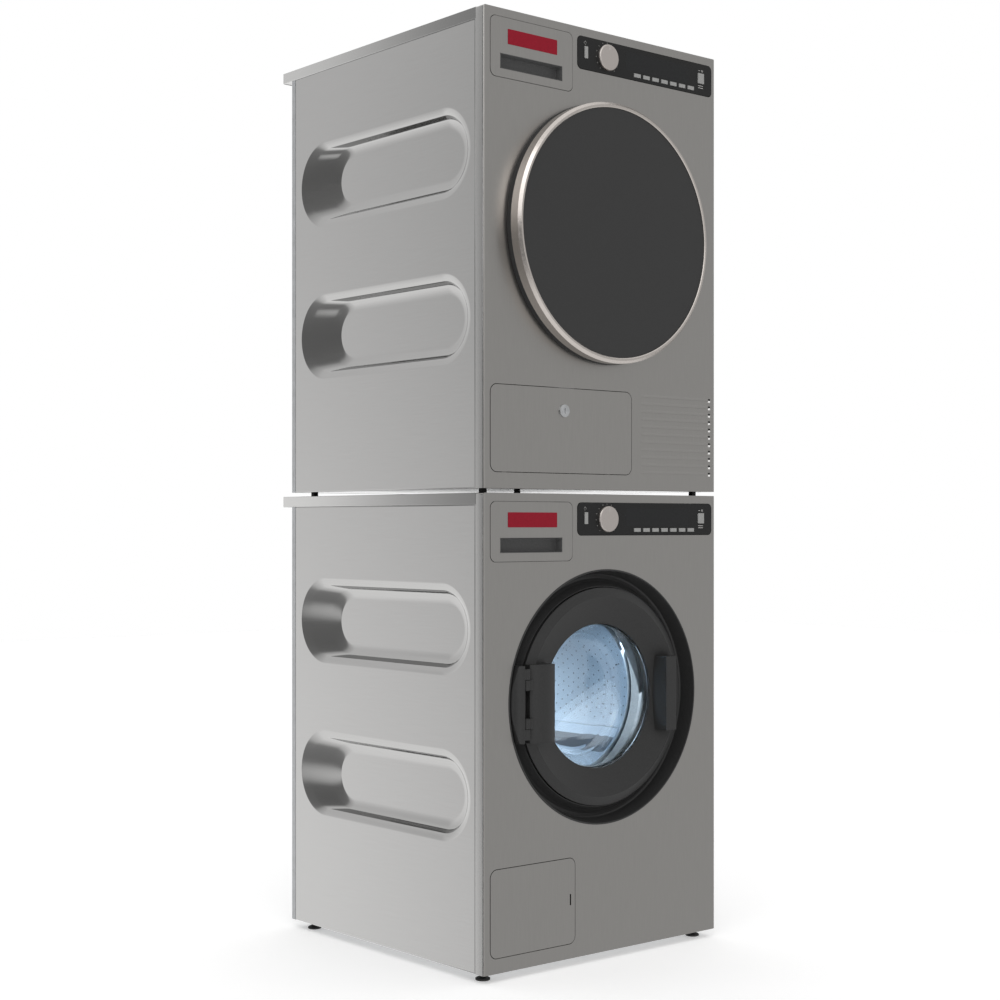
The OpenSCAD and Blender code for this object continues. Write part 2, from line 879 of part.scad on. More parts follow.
// Motor shaft with the belt wheel in front and the fan wheel behind.
module dryer_motor_pulley() {
    blades = 12;
    color("dimgray") upstairs() {
        rod(dryer_motor_x, dryer_motor_z, 6, [296, 530]);
        rod(dryer_motor_x, dryer_motor_z, dryer_pulley_r, [298, 316]);
        rod(dryer_motor_x, dryer_motor_z, 75, [522, 525]);
        translate([dryer_motor_x, front_y + 485, dryer_motor_z]) rotate([-90, 0, 0])
            for (i = [0 : blades - 1]) rotate(i * 360 / blades)
                translate([45, -1.5, 0]) cube([29, 3, 38]);
    }
}

module dryer_heat_exchanger() {
    x = [-265, 50];
    fins = 15;
    fin_pitch = 20;
    color("silver") upstairs() difference() {
        block(x, [60, 420], [tray_top + 2, 140]);
        for (i = [0 : fins - 1])
            block([x[0] + 10 + i * fin_pitch, x[0] + 24 + i * fin_pitch], [59, 421], [22, 130]);
    }
}

module dryer_hatch() {
    color("lightgray") upstairs() {
        difference() {
            plate(dryer_hatch_x, hatch_sheet, dryer_hatch_z, hatch_r);
            rod(lock_x, lock_z, 8 + small, [-1, 4]);
        }
        for (x = dryer_arm_x) along_dryer_edge() hatch_arm(x);
    }
}

module dryer_hatch_lock() {
    color("silver") upstairs() difference() {
        union() {
            rod(lock_x, lock_z, 11.5, [-3, -0.4]);
            rod(lock_x, lock_z, 8, [-0.5, 8]);
            block(grown([lock_x, lock_x], 4), [5, 8], [lock_z - 4, lock_z + 24]);
        }
        block(grown([lock_x, lock_x], 1), [-4, -1.5], grown([lock_z, lock_z], 5));
    }
}

// Lifts a piece by the extra height of the washer's screw feet.
module raised() {
    translate([0, 0, lift]) children();
}

// ---------- the pieces by name ----------

raised() side_panels();
raised() worktops();
raised() feet();
raised() washer_frame();
raised() washer_front_panel();
raised() washer_back_panel();
raised() washer_fascia();
raised() washer_knob();
raised() washer_drawer();
raised() washer_dispenser();
raised() washer_door_bezel();
raised() washer_door_frame();
raised() washer_door_glass();
raised() washer_door_hinge();
raised() washer_gasket();
raised() washer_tub();
raised() washer_drum();
raised() washer_drum_pulley();
raised() washer_belt();
raised() washer_motor();
raised() washer_motor_pulley();
raised() washer_suspension();
raised() washer_counterweight();
raised() washer_pump();
raised() washer_hatch();
raised() dryer_frame();
raised() dryer_front_panel();
raised() dryer_back_panel();
raised() dryer_fascia();
raised() dryer_knob();
raised() dryer_tank_drawer();
raised() dryer_door_disc();
raised() dryer_door_ring();
raised() dryer_door_liner();
raised() dryer_door_hinge();
raised() dryer_drum();
raised() dryer_belt();
raised() dryer_motor();
raised() dryer_motor_pulley();
raised() dryer_heat_exchanger();
raised() dryer_hatch();
raised() dryer_hatch_lock();
for (m = MACHINES) translate([0, 0, m == "dryer" ? pitch : 0]) {
    raised() power_key();
    raised() start_key();
    for (i = KEYS) raised() option_key(i);
}
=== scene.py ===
import json
import math

import bmesh
import bpy
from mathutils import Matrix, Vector


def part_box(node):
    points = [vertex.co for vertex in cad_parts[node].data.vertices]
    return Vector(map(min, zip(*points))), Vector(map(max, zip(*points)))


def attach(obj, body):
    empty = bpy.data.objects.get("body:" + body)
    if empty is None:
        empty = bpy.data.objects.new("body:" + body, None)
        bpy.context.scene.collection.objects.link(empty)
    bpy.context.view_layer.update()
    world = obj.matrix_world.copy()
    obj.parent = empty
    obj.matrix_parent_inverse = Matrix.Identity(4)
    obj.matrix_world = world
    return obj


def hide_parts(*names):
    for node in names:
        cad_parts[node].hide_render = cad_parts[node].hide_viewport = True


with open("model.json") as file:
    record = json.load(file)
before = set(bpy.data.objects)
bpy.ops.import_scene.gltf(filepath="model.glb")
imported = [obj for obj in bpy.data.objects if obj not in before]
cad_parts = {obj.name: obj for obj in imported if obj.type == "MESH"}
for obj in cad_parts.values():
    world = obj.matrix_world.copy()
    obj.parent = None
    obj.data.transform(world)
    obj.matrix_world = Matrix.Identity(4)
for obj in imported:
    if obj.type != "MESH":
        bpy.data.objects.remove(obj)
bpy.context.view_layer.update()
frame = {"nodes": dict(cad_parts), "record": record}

# Places are in millimetres, as in the CAD: x, depth behind the front panels, and height. The whole stack is
# raised by the extra height of the washer's screw feet.
MM = 0.001
FOOT_H = 8
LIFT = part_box("washer_front_panel")[0].z / MM - FOOT_H
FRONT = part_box("washer_front_panel")[0].y
PITCH = (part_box("dryer_front_panel")[0].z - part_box("washer_front_panel")[0].z) / MM
HALF_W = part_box("side_panels")[1].x / MM
SIDE_DEPTH = [(corner.y - FRONT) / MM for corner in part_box("side_panels")]
DOOR_Z = 483
MACHINES = {"washer": 0, "dryer": PITCH}
ROOT = "cabinets"


def at(x, d, z):
    """The point in the frame, in metres, of a place in millimetres."""
    return Vector((x * MM, FRONT + d * MM, (z + LIFT) * MM))


# ---------- shader nodes ----------

SHADER = "Principled BSDF"
RELIEF_HEIGHT = 0.0004
MOTTLE_FROM, MOTTLE_TO = 0.3, 0.7


def nodes_of(name):
    """A new material, its node tree and its shader."""
    made = bpy.data.materials.new(name)
    made.use_nodes = True
    tree = made.node_tree
    return made, tree, tree.nodes[SHADER]


def coordinates(tree, scale):
    """Object coordinates, stretched by a scale for each axis."""
    source = tree.nodes.new("ShaderNodeTexCoord")
    mapping = tree.nodes.new("ShaderNodeMapping")
    mapping.inputs["Scale"].default_value = scale
    tree.links.new(source.outputs["Object"], mapping.inputs["Vector"])
    return mapping.outputs["Vector"]


def noise(tree, scale, detail=3.0):
    made = tree.nodes.new("ShaderNodeTexNoise")
    made.inputs["Scale"].default_value = 1.0
    made.inputs["Detail"].default_value = detail
    made.inputs["Roughness"].default_value = 0.6
    tree.links.new(coordinates(tree, scale), made.inputs["Vector"])
    return made.outputs["Fac"]


def ramp(tree, source, stops):
    """A colour that follows its source through stops of (source, colour)."""
    made = tree.nodes.new("ShaderNodeValToRGB")
    elements = made.color_ramp.elements
    elements[0].position, elements[0].color = stops[0]
    elements[1].position, elements[1].color = stops[-1]
    for place, colour in stops[1:-1]:
        elements.new(place).color = colour
    tree.links.new(source, made.inputs["Fac"])
    return made.outputs["Color"]


def mottle(tree, pattern, low, high):
    """Goes from one colour to another with a noise pattern."""
    return ramp(tree, pattern, [(MOTTLE_FROM, low), (MOTTLE_TO, high)])


def blend(tree, a, b, factor=1.0, kind="MIX"):
    """Mixes two colours. Each one, and the factor, is a socket or a value."""
    made = tree.nodes.new("ShaderNodeMix")
    made.data_type = "RGBA"
    made.blend_type = kind
    for name, sort, value in (("A", "RGBA", a), ("B", "RGBA", b), ("Factor", "VALUE", factor)):
        socket = next(i for i in made.inputs if i.name == name and i.type == sort)
        if hasattr(value, "node"):
            tree.links.new(value, socket)
        else:
            socket.default_value = value
    return next(i for i in made.outputs if i.type == "RGBA")


def axis_of(tree, vector, axis):
    split = tree.nodes.new("ShaderNodeSeparateXYZ")
    tree.links.new(vector, split.inputs["Vector"])
    return split.outputs[axis]


def size_along(tree, vector, axis):
    """The size of one axis of a vector, without its sign."""
    made = tree.nodes.new("ShaderNodeMath")
    made.operation = "ABSOLUTE"
    tree.links.new(axis_of(tree, vector, axis), made.inputs[0])
    return made.outputs[0]


def between(tree, source, start, end, low, high):
    """A value that goes from low to high while its source goes from start to end."""
    made = tree.nodes.new("ShaderNodeMapRange")
    made.interpolation_type = "SMOOTHSTEP"
    tree.links.new(source, made.inputs["Value"])
    for name, value in (("From Min", start), ("From Max", end), ("To Min", low), ("To Max", high)):
        made.inputs[name].default_value = value
    return made.outputs["Result"]


def position(tree):
    return tree.nodes.new("ShaderNodeTexCoord").outputs["Object"]


def normal(tree):
    return tree.nodes.new("ShaderNodeNewGeometry").outputs["Normal"]


def shade(colour, factor):
    return tuple(min(1.0, c * factor) for c in colour) + (1.0,)


def grey(value):
    return (value, value, value, 1.0)


def finish_material(name, colour, roughness, scale, contrast, spread, bump, metallic=0.0, bump_scale=None,
                    specular=0.5):
    """A material with a mottled colour, an uneven gloss and a fine relief. The scale of its grain is one
    number, or one for each axis."""
    made, tree, bsdf = nodes_of(name)
    if not isinstance(scale, tuple):
        scale = (scale, scale, scale)
    pattern = noise(tree, scale)
    tree.links.new(mottle(tree, pattern, shade(colour, 1 - contrast), shade(colour, 1 + contrast)),
                   bsdf.inputs["Base Color"])
    tree.links.new(mottle(tree, pattern, grey(roughness - spread), grey(roughness + spread)),
                   bsdf.inputs["Roughness"])
    relief = tree.nodes.new("ShaderNodeBump")
    relief.inputs["Strength"].default_value = bump
    relief.inputs["Distance"].default_value = RELIEF_HEIGHT
    fine_scale = bump_scale or tuple(8 * s for s in scale)
    tree.links.new(noise(tree, fine_scale, detail=2.0), relief.inputs["Height"])
    tree.links.new(relief.outputs["Normal"], bsdf.inputs["Normal"])
    bsdf.inputs["Metallic"].default_value = metallic
    bsdf.inputs["Specular IOR Level"].default_value = specular
    return made


def glass_material(name):
    """Clear glass with a faint blue tint."""
    made, tree, bsdf = nodes_of(name)
    bsdf.inputs["Transmission Weight"].default_value = 1.0
    bsdf.inputs["IOR"].default_value = 1.45
    pattern = noise(tree, (40, 40, 40))
    tint = mottle(tree, pattern, (0.86, 0.93, 0.97, 1), (0.92, 0.97, 1.0, 1))
    tree.links.new(tint, bsdf.inputs["Base Color"])
    tree.links.new(mottle(tree, pattern, grey(0.01), grey(0.03)), bsdf.inputs["Roughness"])
    return made


# ---------- materials ----------

FRONT_STEEL = (0.395, 0.385, 0.37)
SIDE_STEEL = (0.445, 0.442, 0.436)
SIDE_BRUSHING = {"scale": (14, 14, 700), "contrast": 0.02, "spread": 0.02, "bump": 0.015,
                 "bump_scale": (40, 40, 2600)}

MATERIALS = {
    "stainless_front": finish_material(
        "front steel", FRONT_STEEL, 0.34, scale=(900, 900, 26), contrast=0.035, spread=0.04, bump=0.10,
        metallic=1.0, bump_scale=(2600, 2600, 90)),
    "stainless_side": finish_material(
        "side steel", SIDE_STEEL, 0.09, metallic=1.0, **SIDE_BRUSHING),
    "galvanised": finish_material(
        "galvanised sheet", (0.50, 0.51, 0.52), 0.42, scale=45, contrast=0.16, spread=0.08, bump=0.05,
        metallic=0.9),
    "black_plastic": finish_material(
        "black plastic", (0.030, 0.030, 0.030), 0.36, scale=300, contrast=0.10, spread=0.04, bump=0.08,
        specular=0.3),
    "black_rubber": finish_material(
        "black rubber", (0.025, 0.025, 0.025), 0.65, scale=200, contrast=0.15, spread=0.06, bump=0.2),
    "grey_rubber": finish_material(
        "grey rubber", (0.16, 0.17, 0.175), 0.55, scale=120, contrast=0.10, spread=0.06, bump=0.15),
    "fascia_black": finish_material(
        "fascia", (0.013, 0.013, 0.013), 0.30, scale=400, contrast=0.08, spread=0.03, bump=0.03,
        specular=0.25),
    "key_grey": finish_material(
        "key plastic", (0.29, 0.29, 0.283), 0.40, scale=300, contrast=0.05, spread=0.04, bump=0.06),
    "knob_metal": finish_material(
        "knob metal", (0.60, 0.555, 0.525), 0.36, scale=500, contrast=0.06, spread=0.05, bump=0.08,
        metallic=1.0),
    "ring_metal": finish_material(
        "ring metal", (0.62, 0.575, 0.54), 0.24, scale=160, contrast=0.04, spread=0.03, bump=0.03,
        metallic=1.0),
    "smoked_disc": finish_material(
        "door disc", (0.034, 0.034, 0.034), 0.40, scale=500, contrast=0.06, spread=0.04, bump=0.06,
        specular=0.25),
    "door_glass": glass_material("door glass"),
    "drum_steel": finish_material(
        "drum steel", (0.66, 0.72, 0.78), 0.30, scale=18, contrast=0.03, spread=0.03, bump=0.01,
        metallic=1.0, bump_scale=(300, 20, 300)),
    "white_plastic": finish_material(
        "white plastic", (0.68, 0.69, 0.69), 0.45, scale=120, contrast=0.04, spread=0.05, bump=0.06),
    "grey_plastic": finish_material(
        "grey plastic", (0.30, 0.31, 0.32), 0.55, scale=120, contrast=0.08, spread=0.06, bump=0.1),
    "motor_metal": finish_material(
        "motor casing", (0.10, 0.105, 0.11), 0.5, scale=90, contrast=0.12, spread=0.08, bump=0.15,
        metallic=0.6),
    "concrete": finish_material(
        "concrete", (0.33, 0.32, 0.31), 0.85, scale=70, contrast=0.25, spread=0.08, bump=0.6),
    "zinc": finish_material(
        "zinc plate", (0.56, 0.57, 0.58), 0.36, scale=80, contrast=0.12, spread=0.08, bump=0.05,
        metallic=0.95),
}
WORKTOP_STEEL = finish_material("worktop steel", SIDE_STEEL, 0.16, metallic=1.0, **SIDE_BRUSHING)
BADGE_RED = finish_material("badge red", (0.24, 0.006, 0.018), 0.40, scale=300, contrast=0.06, spread=0.04,
                            bump=0.03, specular=0.15)
DISPLAY = finish_material("display window", (0.020, 0.0205, 0.021), 0.20, scale=200, contrast=0.08,
                          spread=0.03, bump=0.01, specular=0.15)
PRINT = finish_material("printed marks", (0.50, 0.49, 0.475), 0.45, scale=400, contrast=0.05, spread=0.04,
                        bump=0.02)
# A dark plate painted as the shadow in a louvre's open end, and a bright one painted as the highlight on
# its lip.
NOTCH_SHADOW = finish_material("louvre notch painted shadow", (0.018, 0.018, 0.018), 0.6, scale=300, contrast=0.2, spread=0.05,
                        bump=0.05, specular=0.1)
LIP_HIGHLIGHT = finish_material("louvre lip painted highlight", (0.85, 0.84, 0.82), 0.35, scale=300, contrast=0.05, spread=0.05,
                      bump=0.05)
# Dark discs painted as the shade seen in the drum's holes.
PERFORATION_SHADE = finish_material("perforation painted shade", (0.13, 0.155, 0.18), 0.6, scale=300, contrast=0.2, spread=0.05,
                              bump=0.05)
SLOT_LINING = finish_material("slot lining", (0.105, 0.105, 0.105), 0.8, scale=300, contrast=0.1,
                              spread=0.05, bump=0.1, specular=0.1)

# The folded sides of the front sheets: where they start, in metres from the middle, and how rough they are.
FLANGE_FROM, FLANGE_TO = 0.2944, 0.2948
FLANGE_ROUGHNESS = 0.14

# Painted shade on the pressed walls: their colour is darkest where the X part of the normal is under
# STEEP_NORMAL.
# Sheet with one over OPEN_NORMAL keeps its own colour.
STEEP_NORMAL, OPEN_NORMAL, STEEP_SHADE = 0.58, 0.76, 0.42

# Painted light and shade on a worktop's side edges: how bright they are at their front and rear ends,
# EDGE_REACH metres from the middle. An edge faces the side where the X part of its normal is large.
EDGE_REACH = 0.34
EDGE_FRONT_SHADE, EDGE_REAR_SHADE = 0.54, 1.36
EDGE_NORMAL_FROM, EDGE_NORMAL_TO = 0.6, 0.9


def input_of(made, name):
    """The shader's input and what is linked to it."""
    socket = made.node_tree.nodes[SHADER].inputs[name]
    return socket, socket.links[0].from_socket


def polish_flanges(made):
    """The folded sides of the front sheets are as smooth as the side panels."""
    tree = made.node_tree
    on_side = between(tree, size_along(tree, position(tree), "X"), FLANGE_FROM, FLANGE_TO, 0.0, 1.0)
    for name, value in (("Base Color", SIDE_STEEL + (1.0,)), ("Roughness", grey(FLANGE_ROUGHNESS))):
        socket, source = input_of(made, name)
        tree.links.new(blend(tree, source, value, on_side), socket)


def paint_steep_shade(made):
    """Paints shade into the colour of steep pressed walls: they face each other, so they are darker than
    the open sheet.
    """
    tree = made.node_tree
    facing = size_along(tree, normal(tree), "X")
    painted_shade = between(tree, facing, STEEP_NORMAL, OPEN_NORMAL, STEEP_SHADE, 1.0)
    socket, source = input_of(made, "Base Color")
    tree.links.new(blend(tree, source, painted_shade, 1.0, "MULTIPLY"), socket)


def paint_edge_light_and_shade(made):
    """Paints light and shade into the worktop's side edges: darker towards the front, lighter towards the
    rear.
    """
    tree = made.node_tree
    along = between(tree, axis_of(tree, position(tree), "Y"), -EDGE_REACH, EDGE_REACH, EDGE_FRONT_SHADE,
                    EDGE_REAR_SHADE)
    facing = size_along(tree, normal(tree), "X")
    on_side = between(tree, facing, EDGE_NORMAL_FROM, EDGE_NORMAL_TO, 0.0, 1.0)
    socket, source = input_of(made, "Base Color")
    darker = blend(tree, source, along, 1.0, "MULTIPLY")
    tree.links.new(blend(tree, source, darker, on_side), socket)


polish_flanges(MATERIALS["stainless_front"])
# The side steel gets painted shade on its steep walls.
paint_steep_shade(MATERIALS["stainless_side"])
# The worktop steel gets painted light and shade along its side edges.
paint_edge_light_and_shade(WORKTOP_STEEL)


# ---------- meshes ----------

SHARP_ANGLE = 42
CORNER_STEPS = 8
EDGE_STEPS = 3
EDGE_SHARE = 0.6
CUT_SHARE = 0.45
LEAST_RADIUS = 0.05


def piece(name, bm, slot, body=ROOT, material=None, replaced=(), weighted=True):
    """Makes an object of a bmesh in millimetres with x, depth and height, and sets it on its body."""
    for v in bm.verts:
        v.co = at(*v.co)
    bmesh.ops.recalc_face_normals(bm, faces=bm.faces)
    mesh = bpy.data.meshes.new(name)
    bm.to_mesh(mesh)
    bm.free()
    mesh.shade_smooth()
    mesh.set_sharp_from_angle(angle=math.radians(SHARP_ANGLE))
    made = bpy.data.objects.new(name, mesh)
    bpy.context.scene.collection.objects.link(made)
    mesh.materials.append(material or MATERIALS[slot])
    if weighted:
        modifier = made.modifiers.new("weighted", "WEIGHTED_NORMAL")
        modifier.keep_sharp = True
    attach(made, body)
    if replaced:
        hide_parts(*replaced)
    return made


def loop(bm, points):
    return [bm.verts.new(p) for p in points]


def bridge(bm, a, b, closed=True):
    """Joins two loops of the same length with faces."""
    count = len(a)
    for i in range(count if closed else count - 1):
        j = (i + 1) % count
        bm.faces.new((a[i], a[j], b[j], b[i]))


def bridge_all(bm, loops, closed=True):
    for a, b in zip(loops, loops[1:]):
        bridge(bm, a, b, closed)


def outline(x, z, r, inset=0.0, steps=CORNER_STEPS):
    """A rounded rectangle seen from the front, as (x, z) points."""
    r = max(r - inset, LEAST_RADIUS)
    left, right = x[0] + r + inset, x[1] - r - inset
    low, high = z[0] + r + inset, z[1] - r - inset
    points = []
    for cx, cz, start in ((right, high, 0), (left, high, 90), (left, low, 180), (right, low, 270)):
        for i in range(steps + 1):
            turn = math.radians(start + 90 * i / steps)
            points.append((cx + r * math.cos(turn), cz + r * math.sin(turn)))
    return points


def add_plate(bm, x, d, z, r, edge=0.5, steps=CORNER_STEPS):
    """A plate with rounded corners and a softened front edge. d is its front and back depth."""
    edge = min(edge, (d[1] - d[0]) * EDGE_SHARE)
    rings = []
    for i in range(EDGE_STEPS + 1):
        turn = math.radians(90 * i / EDGE_STEPS)
        rings.append((edge * (1 - math.sin(turn)), d[0] + edge * (1 - math.cos(turn))))
    rings.append((0.0, d[1]))
    loops = []
    for inset, depth in rings:
        loops.append(loop(bm, [(px, depth, pz) for px, pz in outline(x, z, r, inset, steps)]))
    bm.faces.new(loops[0])
    bridge_all(bm, loops)
    bm.faces.new(loops[-1])


def plate(name, x, d, z, r, slot, body=ROOT, edge=0.5, **more):
    bm = bmesh.new()
    add_plate(bm, x, d, z, r, edge)
    return piece(name, bm, slot, body, **more)


def rounded(points, radius, closed=True, steps=4):
    """The same outline with its corners rounded."""
    made = []
    count = len(points)
    for i, p in enumerate(points):
        if not closed and i in (0, count - 1):
            made.append(p)
            continue
        last, following = points[i - 1], points[(i + 1) % count]
        to_last, to_following = math.dist(last, p), math.dist(following, p)
        cut = min(radius, CUT_SHARE * to_last, CUT_SHARE * to_following)
        start = [p[k] + (last[k] - p[k]) * cut / to_last for k in (0, 1)]
        end = [p[k] + (following[k] - p[k]) * cut / to_following for k in (0, 1)]
        for step in range(steps + 1):
            t = step / steps
            made.append(tuple((1 - t) ** 2 * start[k] + 2 * t * (1 - t) * p[k] + t * t * end[k]
                              for k in (0, 1)))
    return made


def add_lathe(bm, profile, x=0.0, z=DOOR_Z, segments=180, closed=True):
    """Turns a profile of (radius, depth) points about a front-to-back axis."""
    turns = [2 * math.pi * i / segments for i in range(segments)]
    rings = []
    for r, d in profile:
        if r < 0.01:
            rings.append([bm.verts.new((x, d, z))])
        else:
            rings.append(loop(bm, [(x + r * math.cos(turn), d, z + r * math.sin(turn)) for turn in turns]))
    pairs = list(zip(rings, rings[1:]))
    if closed:
        pairs.append((rings[-1], rings[0]))
    for a, b in pairs:
        if len(a) == 1 and len(b) == 1:
            continue
        if len(a) == 1 or len(b) == 1:
            tip, ring = (a[0], b) if len(a) == 1 else (b[0], a)
            for i in range(segments):
                bm.faces.new((tip, ring[i], ring[(i + 1) % segments]))
        else:
            bridge(bm, a, b)


def lathe(name, profile, slot, body=ROOT, x=0.0, z=DOOR_Z, segments=180, closed=True, **more):
    bm = bmesh.new()
    add_lathe(bm, profile, x, z, segments, closed)
    return piece(name, bm, slot, body, **more)


def soften(node, width):
    """Gives a CAD piece small rounded edges. Its mesh stays as it is."""
    cad_piece = frame["nodes"][node]
    custom = cad_piece.data.attributes.get("custom_normal")
    if custom:
        cad_piece.data.attributes.remove(custom)
    cad_piece.data.shade_smooth()
    weld = cad_piece.modifiers.new("weld", "WELD")
    weld.merge_threshold = 0.00001
    bevel = cad_piece.modifiers.new("edges", "BEVEL")
    bevel.width = width * MM
    bevel.segments = 2
    bevel.limit_method = "ANGLE"
    bevel.angle_limit = math.radians(28)
    bevel.harden_normals = True
    bevel.use_clamp_overlap = True


# ---------- CAD pieces: materials and edges ----------

for row in frame["record"]["subparts"]:
    cad_piece = frame["nodes"][row["node"]]
    cad_piece.data.materials.clear()
    cad_piece.data.materials.append(MATERIALS[row["material_slot"]])
frame["nodes"]["worktops"].data.materials[0] = WORKTOP_STEEL

# The width of each piece's rounded edges.
SOFT = {"worktops": 1.2, "washer_front_panel": 0.4, "dryer_front_panel": 0.4, "washer_hatch": 0.35,
        "dryer_hatch": 0.35, "washer_fascia": 0.5, "dryer_fascia": 0.5, "washer_drawer": 0.4,
        "dryer_tank_drawer": 0.4, "washer_door_frame": 0.8, "washer_door_hinge": 0.8,
        "dryer_hatch_lock": 0.4}
for node in frame["nodes"]:
    if "_key" in node:
        SOFT[node] = 0.4
for node, width in SOFT.items():
    soften(node, width)


# ---------- side panels ----------

SIDE_Z = (8.0, 839.0)
RECESS_FRONT = 37.4
RECESS_R = 83.0
RECESS_LENGTH = 536.0
RECESS_Z = (314.5, 614.5)
REAR_RAMP = 112.0

# The sheet's rounded edge, as (inset, depth) rings.
SHEET_EDGE = ((2.2, 0.0), (1.1, 0.12), (0.35, 0.6), (0.0, 1.4), (0.0, 9.0))

# A recess's wall from its outline inwards: a shallow crest, a bend, a steep wall, a bend back and a valley.
CREST, BEND, STEEP, VALLEY = 12.0, 1.6, 5.0, 19.0
CREST_ANGLES = (10.0, 24.0)
WALL_ANGLE = 58.0
VALLEY_FROM = CREST + 2 * BEND + STEEP
RIM = (-1.5, -0.3)
FINE_STEP, COARSE_STEP = 0.8, 1.6


def wall_slope(s):
    """Slope of the pressed wall, in degrees, at a distance s from the outline."""
    low, high = CREST_ANGLES
    if s < CREST:
        return low + (high - low) * s / CREST
    s -= CREST
    if s < BEND:
        return high + (WALL_ANGLE - high) * s / BEND
    s -= BEND
    if s < STEEP:
        return WALL_ANGLE
    s -= STEEP
    if s < BEND:
        return WALL_ANGLE - (WALL_ANGLE - high) * s / BEND
    return max(0.0, high * (1 - (s - BEND) / VALLEY))


def wall_rings():
    """(distance from the outline, depth) of the rings that make a recess's wall."""
    rings = [(s, 0.0) for s in RIM]
    s, depth = 0.0, 0.0
    while s < VALLEY_FROM + VALLEY:
        step = FINE_STEP if s < VALLEY_FROM else COARSE_STEP
        depth += math.tan(math.radians(wall_slope(s + step / 2))) * step
        s += step
        rings.append((s, depth))
    return rings


def recess_loop(s, z, sunk, arc_steps=48, line_steps=24):
    """The recess's outline moved inwards by s, as (depth along the side, height). Its rear end is a long
    even ramp: sunk is the share of the full depth that this ring has reached."""
    r = RECESS_R - s
    front = RECESS_FRONT + RECESS_R
    rear = RECESS_FRONT + RECESS_LENGTH - RECESS_R - max(0.0, REAR_RAMP * sunk - s)
    points = []
    for middle, other, start, height in ((rear, front, -90, z + r), (front, rear, 90, z - r)):
        for i in range(arc_steps + 1):
            turn = math.radians(start + 180 * i / arc_steps)
            points.append((middle + r * math.cos(turn), z + r * math.sin(turn)))
        points += [(middle + (other - middle) * i / line_steps, height) for i in range(1, line_steps)]
    return points


def side_panel(name, side, up):
    """One side panel with its two pressed recesses. side is -1 for the left and 1 for the right."""
    d0, d1 = SIDE_DEPTH
    z0, z1 = SIDE_Z
    bm = bmesh.new()

    def on_side(points, depth):
        return loop(bm, [(side * (HALF_W - depth), d, z + up) for d, z in points])

    edge_rings = []
    for inset, depth in SHEET_EDGE:
        edge_rings.append(on_side([(d0 + inset, z0 + inset), (d1 - inset, z0 + inset),
                                   (d1 - inset, z1 - inset), (d0 + inset, z1 - inset)], depth))
    bridge_all(bm, edge_rings)
    rims = [edge_rings[0]]
    profile = wall_rings()
    full_depth = profile[-1][1]
    for z in RECESS_Z:
        rings = [on_side(recess_loop(s, z, depth / full_depth), depth) for s, depth in profile]
        bridge_all(bm, rings)
        bm.faces.new(rings[-1])
        rims.append(rings[0])
    rim_edges = [bm.edges.get((ring[i - 1], ring[i])) for ring in rims for i in range(len(ring))]
    bmesh.ops.triangle_fill(bm, use_beauty=True, edges=rim_edges, normal=(side, 0, 0))
    return piece(name, bm, "stainless_side", replaced=["side_panels"])


for machine, up in MACHINES.items():
    side_panel(f"{machine}_side_left", -1, up)
    side_panel(f"{machine}_side_right", 1, up)


# ---------- drawer fronts ----------

SLOT_X, SLOT_Z, SLOT_R, SLOT_DEPTH = (-257, -109), (753, 780), 4.0, 17
BADGE_X, BADGE_Z, BADGE_DEPTH = (-239.5, -122), (798.5, 825.5), (-1.1, -0.4)
DRAWERS = {"washer": "washer_detergent_drawer", "dryer": "dryer_water_tank"}

# The slot's lining from its lip to its bottom, as (inset, depth) rings.
LINING = ((0.15, -0.7), (0.9, -0.7), (0.9, 0.4), (1.4, SLOT_DEPTH - 3), (3.2, SLOT_DEPTH - 0.9),
          (5.0, SLOT_DEPTH - 0.4))


def slot_cup(name, up, body):
    """A dark lining in the finger slot."""
    bm = bmesh.new()
    rings = []
    for inset, depth in LINING:
        points = outline(SLOT_X, SLOT_Z, SLOT_R, inset)
        rings.append(loop(bm, [(x, depth, z + up) for x, z in points]))
    bridge_all(bm, rings)
    bm.faces.new(rings[-1])
    return piece(name, bm, "black_plastic", body, material=SLOT_LINING)


for machine, up in MACHINES.items():
    body = DRAWERS[machine]
    slot_cup(f"{machine}_slot_lining", up, body)
    plate(f"{machine}_badge", BADGE_X, BADGE_DEPTH, (BADGE_Z[0] + up, BADGE_Z[1] + up), 1.2, "fascia_black",
          body, edge=0.3, material=BADGE_RED)


# ---------- controls ----------

FACE = -0.8
MARK_PROUD, MARK_THICK = 0.05, 0.12
DISPLAY_X, DISPLAY_Z, DISPLAY_DEPTH = (51, 222), (800.5, 835), (-0.95, -0.7)
POWER_X, POWER_Z = -52.4, 833
KNOB_X, KNOB_Z, KNOB_R, KNOB_FACE = 3.0, 814.0, 24.3, -8.3
KNOB_PROFILE = rounded([(0.0, KNOB_FACE), (KNOB_R - 2.6, KNOB_FACE), (KNOB_R - 1.0, -7.6), (KNOB_R, -5.8),
                        (KNOB_R, -1.9), (KNOB_R - 0.6, -1.2), (4.0, -1.2), (4.0, 9.0), (0.0, 9.0)],
                       0.5, closed=False)
SEAT_PROFILE = [(KNOB_R + 1.6, -0.9), (KNOB_R + 1.6, -0.7), (5, -0.7), (5, -0.9)]


